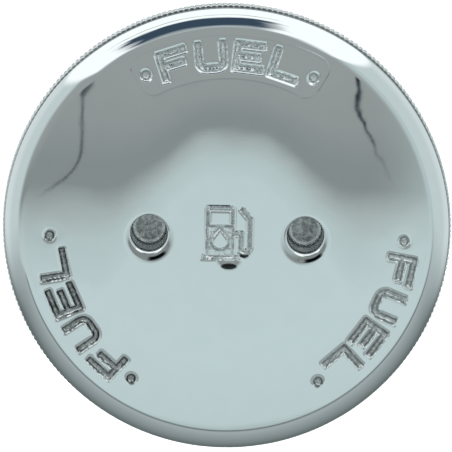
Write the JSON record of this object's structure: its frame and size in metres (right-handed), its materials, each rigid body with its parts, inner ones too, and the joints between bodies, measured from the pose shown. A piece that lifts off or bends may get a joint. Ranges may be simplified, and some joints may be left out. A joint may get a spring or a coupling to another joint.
{
  "type": "deck fill cap",
  "caption": "Chromed screw-in deck fill cap: domed face, sunk fuel legend and symbol, blind spanner holes, knurled rim, hollow threaded spigot, seal ring and chain swivel.",
  "frame": {"origin": "centre of the spigot's lower rim, on the surface that the cap stands on", "axes": "+Z along the cap's axis, out of the deck; +Y is the way up for the fuel symbol; the line through the spanner holes is X"},
  "size_m": [0.0636, 0.0636, 0.0213],
  "materials": {
    "chrome_plate": "mirror-polished chrome plate on a casting; sunk lettering left rough as cast",
    "black_nitrile": "satin black nitrile",
    "stainless_steel": "tumbled stainless",
    "white_nylon": "natural nylon"
  },
  "bodies": {
    "cap": {"cap_body": "chrome_plate", "o_ring": "black_nitrile", "swivel_screw": "stainless_steel"},
    "tab": {"chain_tab": "stainless_steel", "thrust_washer": "white_nylon"},
    "ring": {"chain_ring": "stainless_steel"}
  },
  "joints": [
    {"name": "tab_swivel", "type": "hinge", "parent": "cap", "child": "tab", "pos_m": [0, 0, 0.0123], "axis": [0, 0, 1], "continuous": true},
    {"name": "ring_swing", "type": "hinge", "parent": "tab", "child": "ring", "pos_m": [0.0096, 0, 0.0088], "axis": [1, 0, 0], "range_deg": [-80, 80]}
  ]
}
